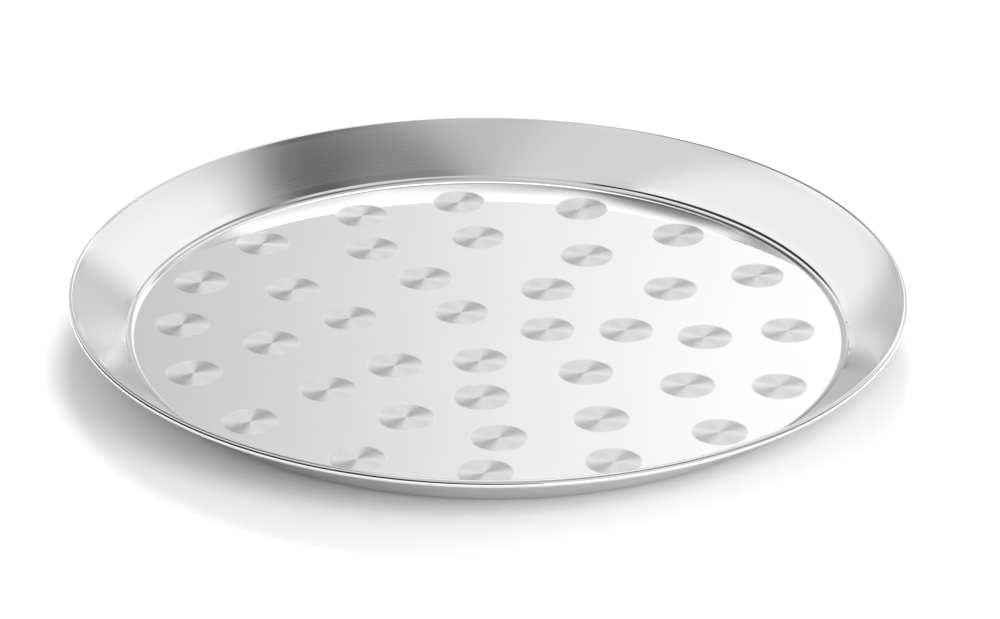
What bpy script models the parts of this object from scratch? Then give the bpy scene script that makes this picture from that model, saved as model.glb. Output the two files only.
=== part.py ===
"""Round steel tray: a pan pressed from one disc of sheet, its edge rolled over a hoop of wire.

Metres, +Z up. The origin is the centre of the underside, on the surface the tray stands on.
"""

from math import asin, atan2, cos, hypot, pi, radians, sin, tan

import bpy

# Driving dimensions
RIM_DIAMETER = 0.350
HEIGHT = 0.0212
FLOOR_DIAMETER = 0.299  # where the lines of the floor and the wall meet
SHEET = 0.0005
CORNER_BEND = 0.007  # radius of the bend between floor and wall, on its upper side
BEAD = 0.0030  # outer diameter of the rolled edge
ROLL = radians(290)  # how far the sheet is rolled round the wire
WIRE = 0.0014
WIRE_JOINT = 0.0015  # gap between the two butted ends of the hoop

# Fineness
TURN_STEPS = 96
BEND_STEPS = 4
ROLL_STEPS = 12
WIRE_SIDES_SETTING = 2  # a curve's bevel_resolution: 2 gives 8 sides

# Worked out from the above: the rolled edge's circle, and the wall's line, which touches it
BEAD_CENTRE = (RIM_DIAMETER / 2 - BEAD / 2, HEIGHT - BEAD / 2)
CORNER = (FLOOR_DIAMETER / 2, SHEET)
TO_BEAD = (BEAD_CENTRE[0] - CORNER[0], BEAD_CENTRE[1] - CORNER[1])
WALL_SLOPE = atan2(TO_BEAD[1], TO_BEAD[0]) + asin(BEAD / 2 / hypot(*TO_BEAD))
BEND_CENTRE = (CORNER[0] - CORNER_BEND * tan(WALL_SLOPE / 2), SHEET + CORNER_BEND)


def clear_scene():
    for obj in list(bpy.data.objects):
        bpy.data.objects.remove(obj)


def new_collection(name):
    made = bpy.data.collections.new(name)
    bpy.context.scene.collection.children.link(made)
    return made


def steel(name, colour, roughness):
    material = bpy.data.materials.new(name)
    material.use_nodes = True
    shader = material.node_tree.nodes["Principled BSDF"]
    shader.inputs["Base Color"].default_value = (*colour, 1)
    shader.inputs["Metallic"].default_value = 1
    shader.inputs["Roughness"].default_value = roughness
    return material


def arc(centre, radius, start, end, steps):
    """Points of an arc in the (radius, height) plane, both ends included."""
    angles = [start + (end - start) * i / steps for i in range(steps + 1)]
    return [(centre[0] + radius * cos(a), centre[1] + radius * sin(a)) for a in angles]


def sheet_side(depth):
    """One side of the sheet, from the axis to the rolled end, depth below its upper side."""
    bend = arc(BEND_CENTRE, CORNER_BEND + depth, -pi / 2, WALL_SLOPE - pi / 2, BEND_STEPS)
    roll_start = WALL_SLOPE + pi / 2
    roll = arc(BEAD_CENTRE, BEAD / 2 - depth, roll_start, roll_start - ROLL, ROLL_STEPS)
    return [(0, SHEET - depth), *bend, *roll]


def make_pan(parts, material):
    """The sheet's section, both sides and the rolled end, turned about Z."""
    section = sheet_side(0) + sheet_side(SHEET)[::-1]
    mesh = bpy.data.meshes.new("tray_pan")
    edges = [(i, i + 1) for i in range(len(section) - 1)]
    mesh.from_pydata([(r, 0, z) for r, z in section], edges, [])
    mesh.materials.append(material)
    pan = bpy.data.objects.new("tray_pan", mesh)
    parts.objects.link(pan)

    turn = pan.modifiers.new("turn", "SCREW")
    turn.axis = "Z"
    turn.angle = 2 * pi
    turn.steps = turn.render_steps = TURN_STEPS
    turn.use_merge_vertices = True
    turn.merge_threshold = 0.0001
    turn.use_smooth_shade = True
    return pan


def make_rim_wire(parts, material):
    """The hoop inside the rolled edge: one length of wire, bent round and butted at the back."""
    curve = bpy.data.curves.new("rim_wire", "CURVE")
    curve.dimensions = "3D"
    curve.bevel_depth = WIRE / 2
    curve.bevel_resolution = WIRE_SIDES_SETTING
    curve.use_fill_caps = True
    curve.materials.append(material)

    radius = BEAD_CENTRE[0]
    half_joint = WIRE_JOINT / 2 / radius
    back = pi / 2
    turns = [back + 2 * pi * i / TURN_STEPS for i in range(TURN_STEPS + 1)]
    turns[0] += half_joint
    turns[-1] -= half_joint
    spline = curve.splines.new("POLY")
    spline.points.add(len(turns) - 1)
    for point, turn in zip(spline.points, turns):
        point.co = (radius * cos(turn), radius * sin(turn), 0, 1)

    wire = bpy.data.objects.new("rim_wire", curve)
    wire.location.z = BEAD_CENTRE[1]
    parts.objects.link(wire)
    return wire


def main():
    clear_scene()
    parts = new_collection("round_tray")
    polished = steel("polished_steel", (0.78, 0.78, 0.79), 0.08)
    drawn = steel("drawn_wire", (0.56, 0.57, 0.58), 0.35)
    pan = make_pan(parts, polished)
    wire = make_rim_wire(parts, drawn)
    wire.parent = pan


main()
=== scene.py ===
"""Looks of the round steel tray: the polished pan with its brushed discs, and the wire in its edge.

Metres, +Z up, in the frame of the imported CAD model. The camera looks from -Y and above.
"""

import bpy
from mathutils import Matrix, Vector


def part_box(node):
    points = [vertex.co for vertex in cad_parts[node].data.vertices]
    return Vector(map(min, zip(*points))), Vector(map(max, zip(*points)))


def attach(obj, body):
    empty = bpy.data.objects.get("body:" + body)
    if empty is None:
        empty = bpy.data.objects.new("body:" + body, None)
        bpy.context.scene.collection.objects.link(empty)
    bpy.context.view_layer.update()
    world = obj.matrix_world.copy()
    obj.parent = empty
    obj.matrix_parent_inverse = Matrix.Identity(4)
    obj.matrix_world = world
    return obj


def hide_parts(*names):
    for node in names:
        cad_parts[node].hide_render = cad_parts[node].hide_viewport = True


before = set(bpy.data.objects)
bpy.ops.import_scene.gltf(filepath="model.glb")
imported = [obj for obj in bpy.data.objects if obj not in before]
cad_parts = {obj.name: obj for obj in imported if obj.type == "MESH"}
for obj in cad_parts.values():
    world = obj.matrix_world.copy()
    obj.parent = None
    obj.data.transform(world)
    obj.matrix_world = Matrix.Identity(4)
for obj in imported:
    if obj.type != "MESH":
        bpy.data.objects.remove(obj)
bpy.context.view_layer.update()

from math import acos, cos, pi, radians, sin, tan
from typing import NamedTuple

import bpy
from mathutils import Matrix, Vector
from mathutils.geometry import delaunay_2d_cdt

# The pan's section
PAN_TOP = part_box("tray_pan")[1]
RIM_RADIUS = PAN_TOP.x
HEIGHT = PAN_TOP.z
SHEET = 0.0005
BEAD = 0.0030  # outer diameter of the rolled edge
ROLL = radians(290)
WALL_TOP_SLOPE = radians(38)
WALL_BEND = 0.300  # radius of the wall's slight flare
FOOT_TOP = 0.0027  # height where the wall's steep foot starts
FOOT_SLOPE = radians(52)
FOOT_BEND = 0.0015
CORNER_BEND = 0.004
BEAD_CENTRE = (RIM_RADIUS - BEAD / 2, HEIGHT - BEAD / 2)


def out_of(centre, radius, slope):
    """The point on a circle where its tangent has this slope, on the circle's upper left."""
    return centre[0] - radius * sin(slope), centre[1] + radius * cos(slope)


WALL_CENTRE = out_of(BEAD_CENTRE, BEAD / 2 - WALL_BEND, WALL_TOP_SLOPE)
WALL_LOW_SLOPE = acos((FOOT_TOP - WALL_CENTRE[1]) / WALL_BEND)
FOOT_CENTRE = out_of(WALL_CENTRE, WALL_BEND - FOOT_BEND, WALL_LOW_SLOPE)
FOOT_START = out_of(FOOT_CENTRE, FOOT_BEND, FOOT_SLOPE)
CORNER = FOOT_START[0] - (FOOT_START[1] - SHEET) / tan(FOOT_SLOPE)
BEND_CENTRE = (CORNER - CORNER_BEND * tan(FOOT_SLOPE / 2), SHEET + CORNER_BEND)

# Fineness of the pan's mesh
TURN_STEPS = 480
BEND_STEPS = 14
FOOT_STEPS = 4
WALL_STEPS = 10
BEAD_STEPS = 36
EDGE_STEPS = 6
BEAD_INNER_STEPS = 18
LOWER_WALL_STEPS = 8
LOWER_FOOT_STEPS = 3
LOWER_BEND_STEPS = 8

# The slots of the pan's materials
POLISHED, BRUSHED, LOWER = 0, 1, 2

# The wire in the rolled edge
WIRE_RADIUS = 0.0007
WIRE_JOINT = 0.0015  # gap between its butted ends
WIRE_STEPS = 240
WIRE_SIDES_SETTING = 4  # a curve's bevel_resolution: 4 gives 12 sides

# Finish: roughness, and the distances from the axis where the wall's satin comes and goes
FLOOR_ROUGHNESS = 0.02
WALL_ROUGHNESS = 0.16
BEAD_ROUGHNESS = 0.03
SATIN_COMES = (0.1515, 0.1545)
SATIN_GOES = (0.1705, 0.1720)
DISC_ROUGHNESS = 0.35
DISC_FADES = (0.86, 1.0)  # in disc radii
DISC_BRUSHING = 0.95  # anisotropy

# The brushed discs
DISC_RADIUS = 0.0124
DISC_SIDES = 72


class DiscRing(NamedTuple):
    """A ring of evenly spaced discs, each brushed by hand and so a little out of place."""

    count: int
    radius: float
    first: float  # bearing of the first disc, in degrees
    bearing_slips: tuple  # whole degrees
    radius_slips: tuple  # whole millimetres


DISC_RINGS = (
    DiscRing(
        16, 0.128, 2,
        (-1, 1, 2, 2, 4, 2, 3, 1, -3, -5, -5, -3, -2, -1, -1, -2),
        (-2, 0, -2, 0, 0, -3, 0, 2, 0, 0, 0, 0, 0, 0, 3, 2),
    ),
    DiscRing(
        12, 0.091, 33,
        (-5, -3, 0, 0, 3, 6, 8, 5, 0, -3, -4, -6),
        (-3, -6, 0, 2, 0, 0, -5, -4, 7, 2, 5, 0),
    ),
    DiscRing(7, 0.056, 11, (-10, -5, 5, 5, 5, 0, -3), (2, -9, 0, 3, -5, 6, 0)),
    DiscRing(3, 0.025, 11, (-9, -7, 13), (0, -5, 4)),
)

# The camera, in degrees and rim radii
CAMERA_ELEVATION = 26.04
CAMERA_DISTANCE = 11.83
CAMERA_ROLL = 0.56
CAMERA_AIM = (0.0293, -0.1129)
CAMERA_LENS_MM = 180

# The studio floor and the light on it
STAGE_RADIUS = 8
STAGE_STEPS = 128
ROOM_LIGHT = 0.80
KEY_PLACE = (0.0, 1.5, 0.95)
KEY_SIZE = 0.8
KEY_POWER = 31
FILL_PLACE = (0.25, -0.42, 0.28)
FILL_SIZE = 0.3
FILL_POWER = 1.3


def disc_centres():
    """The discs' centres on the floor, as (x, y)."""
    centres = []
    for ring in DISC_RINGS:
        for i, (turn, out) in enumerate(zip(ring.bearing_slips, ring.radius_slips)):
            bearing = radians(ring.first + 360 * i / ring.count + turn)
            radius = ring.radius + out * 0.001
            centres.append((radius * cos(bearing), radius * sin(bearing)))
    return centres


def arc(centre, radius, start, end, steps, facing):
    """Points (r, z) of an arc with their normals, which face away from its centre (1) or to it (-1)."""
    angles = [start + (end - start) * i / steps for i in range(steps + 1)]
    return [
        (centre[0] + radius * cos(a), centre[1] + radius * sin(a), facing * cos(a), facing * sin(a))
        for a in angles
    ]


def pan_section():
    """The sheet's section from the upper floor's edge, over the rolled edge, to the lower floor's edge."""
    up = pi / 2
    roll_end = WALL_TOP_SLOPE + up - ROLL
    middle = BEAD / 2 - SHEET / 2
    end_centre = (BEAD_CENTRE[0] + middle * cos(roll_end), BEAD_CENTRE[1] + middle * sin(roll_end))
    foot, low, top = FOOT_SLOPE + up, WALL_LOW_SLOPE + up, WALL_TOP_SLOPE + up
    return (
        arc(BEND_CENTRE, CORNER_BEND, -up, foot - pi, BEND_STEPS, -1)
        + arc(FOOT_CENTRE, FOOT_BEND, foot, low, FOOT_STEPS, 1)
        + arc(WALL_CENTRE, WALL_BEND, low, top, WALL_STEPS, 1)[1:]
        + arc(BEAD_CENTRE, BEAD / 2, top, roll_end, BEAD_STEPS, 1)[1:]
        + arc(end_centre, SHEET / 2, roll_end, roll_end - pi, EDGE_STEPS, 1)[1:-1]
        + arc(BEAD_CENTRE, BEAD / 2 - SHEET, roll_end, top, BEAD_INNER_STEPS, -1)
        + arc(WALL_CENTRE, WALL_BEND - SHEET, top, low, LOWER_WALL_STEPS, -1)[1:]
        + arc(FOOT_CENTRE, FOOT_BEND - SHEET, low, foot, LOWER_FOOT_STEPS, -1)[1:]
        + arc(BEND_CENTRE, CORNER_BEND + SHEET, foot - pi, -up, LOWER_BEND_STEPS, 1)
    )


def floor_triangles(rim):
    """The upper floor cut up round the discs: points, triangles, and each triangle's disc or -1."""
    points = [Vector(p) for p in rim]
    loops = [list(range(len(rim)))]
    for x, y in disc_centres():
        start = len(points)
        turns = [2 * pi * i / DISC_SIDES for i in range(DISC_SIDES)]
        points += [Vector((x + DISC_RADIUS * cos(t), y + DISC_RADIUS * sin(t))) for t in turns]
        loops.append(list(range(start, len(points))))
    made = delaunay_2d_cdt(points, [], loops, 1, 1e-7)
    points, triangles, owners = made[0], made[2], made[5]
    discs = [max(o) - 1 for o in owners]
    return points, triangles, discs


def make_pan(materials):
    """The pressed sheet as one closed mesh, with the true normals of its section."""
    section = pan_section()
    turns = [2 * pi * i / TURN_STEPS for i in range(TURN_STEPS)]
    points = [(r * cos(t), r * sin(t), z) for r, z, _, _ in section for t in turns]
    normals = [(nr * cos(t), nr * sin(t), nz) for _, _, nr, nz in section for t in turns]
    faces, slots = [], []
    lower_from = len(section) - LOWER_WALL_STEPS - LOWER_FOOT_STEPS - LOWER_BEND_STEPS - 2
    for ring in range(len(section) - 1):
        for i in range(TURN_STEPS):
            j = (i + 1) % TURN_STEPS
            a, b = ring * TURN_STEPS, (ring + 1) * TURN_STEPS
            faces.append((a + i, b + i, b + j, a + j))
            slots.append(LOWER if ring >= lower_from else POLISHED)

    rim = [p[:2] for p in points[:TURN_STEPS]]
    cut, triangles, discs = floor_triangles(rim)
    shift = len(points) - TURN_STEPS
    points += [(p.x, p.y, SHEET) for p in cut[TURN_STEPS:]]
    normals += [(0, 0, 1)] * (len(cut) - TURN_STEPS)
    floor_from = len(faces)
    for triangle, disc in zip(triangles, discs):
        faces.append(tuple(v if v < TURN_STEPS else v + shift for v in triangle))
        slots.append(BRUSHED if disc >= 0 else POLISHED)

    last, middle = (len(section) - 1) * TURN_STEPS, len(points)
    points.append((0, 0, 0))
    normals.append((0, 0, -1))
    for i in range(TURN_STEPS):
        faces.append((last + (i + 1) % TURN_STEPS, last + i, middle))
        slots.append(LOWER)

    mesh = bpy.data.meshes.new("pressed_pan")
    mesh.from_pydata(points, [], faces)
    for material in materials:
        mesh.materials.append(material)
    mesh.polygons.foreach_set("material_index", slots)
    add_disc_offsets(mesh, floor_from, discs)
    mesh.shade_smooth()
    mesh.normals_split_custom_set_from_vertices(normals)
    pan = bpy.data.objects.new("pressed_pan", mesh)
    bpy.context.scene.collection.objects.link(pan)
    return pan


def add_disc_offsets(mesh, floor_from, discs):
    """On each disc's corners, the place from the disc's centre in disc radii, and a number from 0 to 1."""
    centres = disc_centres()
    offsets = mesh.attributes.new("disc_offset", "FLOAT_VECTOR", "CORNER")
    for face, disc in enumerate(discs, floor_from):
        if disc < 0:
            continue
        x, y = centres[disc]
        for corner in mesh.polygons[face].loop_indices:
            place = mesh.vertices[mesh.loops[corner].vertex_index].co
            offset = ((place.x - x) / DISC_RADIUS, (place.y - y) / DISC_RADIUS, disc / len(centres))
            offsets.data[corner].vector = offset


def make_wire(material):
    """The hoop in the rolled edge, butted at the back."""
    curve = bpy.data.curves.new("edge_wire", "CURVE")
    curve.dimensions = "3D"
    curve.bevel_depth = WIRE_RADIUS
    curve.bevel_resolution = WIRE_SIDES_SETTING
    curve.use_fill_caps = True
    curve.materials.append(material)
    radius = BEAD_CENTRE[0]
    half_joint = WIRE_JOINT / 2 / radius
    spline = curve.splines.new("POLY")
    spline.points.add(WIRE_STEPS)
    for i, point in enumerate(spline.points):
        turn = pi / 2 + half_joint + (2 * pi - 2 * half_joint) * i / WIRE_STEPS
        point.co = (radius * cos(turn), radius * sin(turn), BEAD_CENTRE[1], 1)
    wire = bpy.data.objects.new("edge_wire", curve)
    bpy.context.scene.collection.objects.link(wire)
    return wire


def new_material(name):
    material = bpy.data.materials.new(name)
    material.use_nodes = True
    return material, material.node_tree, material.node_tree.nodes["Principled BSDF"]


def add_node(tree, kind, inputs=(), **settings):
    """A shader node, with its settings, and its inputs by name or number: a value or a socket."""
    node = tree.nodes.new("ShaderNode" + kind)
    for name, value in settings.items():
        setattr(node, name, value)
    for key, value in inputs:
        if isinstance(value, bpy.types.NodeSocket):
            tree.links.new(value, node.inputs[key])
        else:
            node.inputs[key].default_value = value
    return node


def ramp(tree, value, low, high, at_low, at_high, kind="LINEAR"):
    """at_low where the value is low, at_high where it is high, and a straight or eased way between."""
    inputs = (
        ("Value", value),
        ("From Min", low),
        ("From Max", high),
        ("To Min", at_low),
        ("To Max", at_high),
    )
    return add_node(tree, "MapRange", inputs, interpolation_type=kind).outputs["Result"]


def math(tree, operation, first, second=0):
    return add_node(tree, "Math", ((0, first), (1, second)), operation=operation).outputs[0]


def added(tree, *values):
    total = values[0]
    for value in values[1:]:
        total = math(tree, "ADD", total, value)
    return total


def mixed(tree, share, first, second):
    """The first value, going over to the second as the share goes from 0 to 1."""
    inputs = (("Factor", share), ("A", first), ("B", second))
    return add_node(tree, "Mix", inputs, data_type="FLOAT").outputs["Result"]


def noise(tree, where, scale, detail, dimensions="3D"):
    """Noise in space, or along one distance. It stays mostly between 0.3 and 0.7."""
    socket = "W" if dimensions == "1D" else "Vector"
    inputs = ((socket, where), ("Scale", scale), ("Detail", detail))
    return add_node(tree, "TexNoise", inputs, noise_dimensions=dimensions).outputs["Fac"]


def grey(tree, value):
    return add_node(tree, "CombineColor", ((0, value), (1, value), (2, value))).outputs["Color"]


def object_place(tree):
    return add_node(tree, "TexCoord").outputs["Object"]


def flattened(tree, place):
    """A place or an offset, without its Z."""
    return add_node(tree, "VectorMath", ((0, place), (1, (1, 1, 0))), operation="MULTIPLY").outputs[0]


def from_axis(tree, place):
    """Distance of a place from the Z axis."""
    return add_node(tree, "VectorMath", ((0, flattened(tree, place)),), operation="LENGTH").outputs["Value"]


def bumped(tree, shader, height, depth):
    """Fine relief of the steel, this many metres deep."""
    bump = add_node(tree, "Bump", (("Height", height), ("Distance", depth), ("Strength", 1)))
    tree.links.new(bump.outputs["Normal"], shader.inputs["Normal"])


def polished_steel():
    """Mirror on the floor, a little satin on the wall, where the sheet was spun against a tool."""
    material, tree, shader = new_material("polished_steel")
    place = object_place(tree)
    radius = from_axis(tree, place)
    cloud = noise(tree, place, 14, 3)
    spun = noise(tree, radius, 1800, 2, "1D")
    satin = added(
        tree,
        ramp(tree, radius, *SATIN_COMES, FLOOR_ROUGHNESS, WALL_ROUGHNESS, "SMOOTHSTEP"),
        ramp(tree, radius, *SATIN_GOES, 0, BEAD_ROUGHNESS - WALL_ROUGHNESS, "SMOOTHSTEP"),
    )
    lines = ramp(tree, spun, 0.3, 0.7, -0.01, 0.01)
    roughness = added(tree, satin, lines, ramp(tree, cloud, 0.3, 0.7, 0, 0.02))
    tree.links.new(roughness, shader.inputs["Roughness"])
    tone = ramp(tree, added(tree, cloud, spun), 0.7, 1.3, 0.84, 0.87)
    tree.links.new(grey(tree, tone), shader.inputs["Base Color"])
    shader.inputs["Metallic"].default_value = 1
    bumped(tree, shader, added(tree, spun, cloud), 0.0000004)
    return material


def brushed_steel():
    """A disc brushed round and round, whose fine circles fan the light out, fading into the polish. Its
    colour is a painted sheen: lighter than the polish's, with the brush lines' tone in it.
    """
    material, tree, shader = new_material("brushed_disc")
    offset = add_node(tree, "Attribute", attribute_name="disc_offset").outputs["Vector"]
    radius = from_axis(tree, offset)
    number = add_node(tree, "SeparateXYZ", ((0, offset),)).outputs["Z"]
    lines_start = math(tree, "MULTIPLY", number, 40)
    lines = noise(tree, added(tree, radius, lines_start), 26, 3, "1D")
    wobble = ramp(tree, noise(tree, offset, 1.6, 1), 0.3, 0.7, -0.015, 0.015)
    edge = ramp(tree, added(tree, radius, wobble), *DISC_FADES, 0, 1, "SMOOTHSTEP")
    roughness = added(tree, DISC_ROUGHNESS, ramp(tree, lines, 0.3, 0.7, -0.04, 0.04))
    tree.links.new(mixed(tree, edge, roughness, BEAD_ROUGHNESS), shader.inputs["Roughness"])
    # Painted sheen: the disc's colour is lighter than the polish's, carries the brush lines' tone, and fades
    # to the polish's colour at its edge
    tone = mixed(tree, edge, ramp(tree, lines, 0.3, 0.7, 0.91, 0.95), 0.855)
    tree.links.new(grey(tree, tone), shader.inputs["Base Color"])
    shader.inputs["Metallic"].default_value = 1
    shader.inputs["Anisotropic"].default_value = DISC_BRUSHING
    outward = add_node(tree, "VectorMath", ((0, flattened(tree, offset)),), operation="NORMALIZE")
    tree.links.new(outward.outputs["Vector"], shader.inputs["Tangent"])
    bumped(tree, shader, lines, 0.0000005)
    return material


def lower_steel():
    """The underside and the wall's outside: the same sheet, less polished."""
    material, tree, shader = new_material("lower_steel")
    place = object_place(tree)
    spun = noise(tree, from_axis(tree, place), 1400, 2, "1D")
    cloud = noise(tree, place, 22, 3)
    lines = ramp(tree, spun, 0.3, 0.7, 0.08, 0.12)
    roughness = added(tree, lines, ramp(tree, cloud, 0.3, 0.7, 0, 0.03))
    tree.links.new(roughness, shader.inputs["Roughness"])
    tone = ramp(tree, added(tree, cloud, spun), 0.7, 1.3, 0.80, 0.84)
    tree.links.new(grey(tree, tone), shader.inputs["Base Color"])
    shader.inputs["Metallic"].default_value = 1
    bumped(tree, shader, spun, 0.000001)
    return material


def drawn_steel():
    """Wire drawn through a die: dull, with fine marks round its circle."""
    material, tree, shader = new_material("drawn_steel")
    place = object_place(tree)
    marks = noise(tree, from_axis(tree, place), 9000, 2, "1D")
    cloud = noise(tree, place, 60, 3)
    roughness = ramp(tree, added(tree, marks, cloud), 0.6, 1.4, 0.28, 0.42)
    tree.links.new(roughness, shader.inputs["Roughness"])
    tone = ramp(tree, cloud, 0.3, 0.7, 0.52, 0.60)
    tree.links.new(grey(tree, tone), shader.inputs["Base Color"])
    shader.inputs["Metallic"].default_value = 1
    bumped(tree, shader, marks, 0.000002)
    return material


def make_floor():
    """A plain white round floor."""
    mesh = bpy.data.meshes.new("studio_floor")
    turns = [2 * pi * i / STAGE_STEPS for i in range(STAGE_STEPS)]
    ring = [(STAGE_RADIUS * cos(t), STAGE_RADIUS * sin(t), 0) for t in turns]
    mesh.from_pydata(ring, [], [tuple(range(STAGE_STEPS))])
    floor = bpy.data.objects.new("studio_floor", mesh)
    bpy.context.scene.collection.objects.link(floor)
    material, _, shader = new_material("white_floor")
    shader.inputs["Base Color"].default_value = (0.9, 0.9, 0.9, 1)
    shader.inputs["Roughness"].default_value = 0.9
    mesh.materials.append(material)


class SoftPanel(NamedTuple):
    """A soft light, or a dark card, far off round the tray. Angles in degrees."""

    bearing: float  # from +Y, turning to +X
    elevation: float
    roll: float
    half_width: float
    half_height: float
    side_softness: float
    edge_softness: float  # of the top and the bottom
    brightness: float


ROOM_BRIGHTNESS = 0.55
# Each panel covers the ones before it
PANELS = (
    SoftPanel(180, 75, 0, 60, 50, 25, 25, 0.60),  # overhead and behind the camera
    SoftPanel(130, 25, 0, 36, 34, 14, 14, 0.78),  # right
    SoftPanel(-123, 8, 0, 70, 42, 10, 3, 0.05),  # the dark left of the room
    SoftPanel(-73, 20, -43, 40, 14, 6, 3, 0.05),  # and dark under the long light
    SoftPanel(-112, 69, 0, 27, 9, 10, 6, 0.76),  # high on the left
    SoftPanel(-60, 37, -42, 50, 7, 6, 2, 1.03),  # the long light on the left
    SoftPanel(88, 25, 0, 14, 22, 8, 8, 0.30),  # dusk at the right
    SoftPanel(122, 67, 0, 20, 8, 10, 6, 0.26),  # dark card on the right
    SoftPanel(98, 58, 0, 10, 8, 7, 6, 0.13),  # its darkest part
    SoftPanel(53, 31, 41, 24, 8, 8, 6, 1.06),  # the light on the right
    SoftPanel(20, 8, 0, 10, 8, 6, 6, 0.70),  # low behind the tray, to the right
    SoftPanel(-12, 16, 0, 16, 10, 6, 5, 0.62),  # behind the tray
    SoftPanel(16, 27, 0, 15, 6, 7, 3, 1.22),  # brighter to the right
    SoftPanel(-4, 47, 0, 22, 12, 4, 3, 0.24),  # dark above
    SoftPanel(16, 50, 0, 10, 14, 4, 4, 1.0),  # light again to its right
    SoftPanel(-34, 53, -72, 17, 7, 4, 3, 0.06),  # darkest along the long light
    SoftPanel(0.5, 48, 0, 5.6, 10, 1, 1, 1.5),  # a small bright window in the dark
)


def panel_axes(panel):
    """The panel's direction, and its own right and up."""
    bearing, elevation = radians(panel.bearing), radians(panel.elevation)
    roll = radians(panel.roll)
    level = Vector((cos(bearing), -sin(bearing), 0))
    towards = Vector((sin(bearing) * cos(elevation), cos(bearing) * cos(elevation), sin(elevation)))
    up = level.cross(towards)
    return towards, level * cos(roll) + up * sin(roll), up * cos(roll) - level * sin(roll)


def along(tree, direction, axis):
    """How far the direction goes along an axis."""
    return add_node(tree, "VectorMath", ((0, direction), (1, axis)), operation="DOT_PRODUCT").outputs["Value"]


def inside(tree, offset, half, softness):
    """1 within half the panel's width or height of its middle, easing to 0 at its edge."""
    start = tan(radians(half)) - tan(radians(softness))
    end = tan(radians(half)) + tan(radians(softness))
    return ramp(tree, math(tree, "ABSOLUTE", offset), start, end, 1, 0, "SMOOTHSTEP")


def panel_share(tree, direction, panel):
    """1 where the direction meets the panel, 0 where it misses it."""
    towards, right, up = panel_axes(panel)
    ahead = along(tree, direction, towards)
    distance = math(tree, "MAXIMUM", ahead, 0.001)
    across = math(tree, "DIVIDE", along(tree, direction, right), distance)
    upward = math(tree, "DIVIDE", along(tree, direction, up), distance)
    wide = inside(tree, across, panel.half_width, panel.side_softness)
    high = inside(tree, upward, panel.half_height, panel.edge_softness)
    in_front = math(tree, "GREATER_THAN", ahead, 0.001)
    return math(tree, "MULTIPLY", math(tree, "MULTIPLY", wide, high), in_front)


def make_world():
    """The studio: soft panels that only the steel sees, and even white light for everything else."""
    world = bpy.data.worlds.new("studio")
    world.use_nodes = True
    tree = world.node_tree
    background = tree.nodes["Background"]
    direction = add_node(tree, "TexCoord").outputs["Generated"]
    brightness = ROOM_BRIGHTNESS
    for panel in PANELS:
        share = panel_share(tree, direction, panel)
        kept = math(tree, "MULTIPLY", math(tree, "SUBTRACT", 1, share), brightness)
        brightness = math(tree, "ADD", kept, math(tree, "MULTIPLY", share, panel.brightness))

    steel_sees = add_node(tree, "LightPath").outputs["Is Glossy Ray"]
    for_steel = math(tree, "MULTIPLY", brightness, steel_sees)
    for_rest = math(tree, "MULTIPLY", math(tree, "SUBTRACT", 1, steel_sees), ROOM_LIGHT)
    tree.links.new(math(tree, "ADD", for_steel, for_rest), background.inputs["Strength"])
    background.inputs["Color"].default_value = (1, 1, 1, 1)
    world.cycles.sampling_method = "NONE"
    bpy.context.scene.world = world


def make_lamp(name, place, size, power):
    """A round soft lamp aimed at the tray, for the floor only: the steel doesn't mirror it."""
    data = bpy.data.lights.new(name, "AREA")
    data.shape = "DISK"
    data.size = size
    data.energy = power
    lamp = bpy.data.objects.new(name, data)
    lamp.location = place
    lamp.rotation_euler = (-Vector(place)).to_track_quat("-Z", "Y").to_euler()
    lamp.visible_glossy = False
    bpy.context.scene.collection.objects.link(lamp)


def make_camera():
    """From the front and above, through a long lens, turned a little so that the tray leans right."""
    lean, elevation = radians(CAMERA_ROLL), radians(CAMERA_ELEVATION)
    forward = Vector((0, cos(elevation), -sin(elevation)))
    right = Vector((1, 0, 0))
    up = right.cross(forward)
    turned_right = right * cos(lean) + up * sin(lean)
    turned_up = up * cos(lean) - right * sin(lean)
    aim = Vector((CAMERA_AIM[0] * RIM_RADIUS, CAMERA_AIM[1] * RIM_RADIUS, BEAD_CENTRE[1]))
    data = bpy.data.cameras.new("camera")
    data.lens = CAMERA_LENS_MM
    data.sensor_width = 36
    data.clip_end = 100
    camera = bpy.data.objects.new("camera", data)
    turn = Matrix((turned_right, turned_up, -forward)).transposed().to_4x4()
    camera.matrix_world = Matrix.Translation(aim - forward * CAMERA_DISTANCE * RIM_RADIUS) @ turn
    bpy.context.scene.collection.objects.link(camera)
    bpy.context.scene.camera = camera


def main():
    """The pan and the wire in place of their CAD pieces, in the studio."""
    pan = make_pan((polished_steel(), brushed_steel(), lower_steel()))
    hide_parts("tray_pan")
    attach(pan, "root")
    wire = make_wire(drawn_steel())
    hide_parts("rim_wire")
    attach(wire, "root")
    make_floor()
    make_world()
    make_lamp("key_light", KEY_PLACE, KEY_SIZE, KEY_POWER)
    make_lamp("fill_light", FILL_PLACE, FILL_SIZE, FILL_POWER)
    make_camera()
    bpy.context.scene.view_settings.view_transform = "Standard"


main()
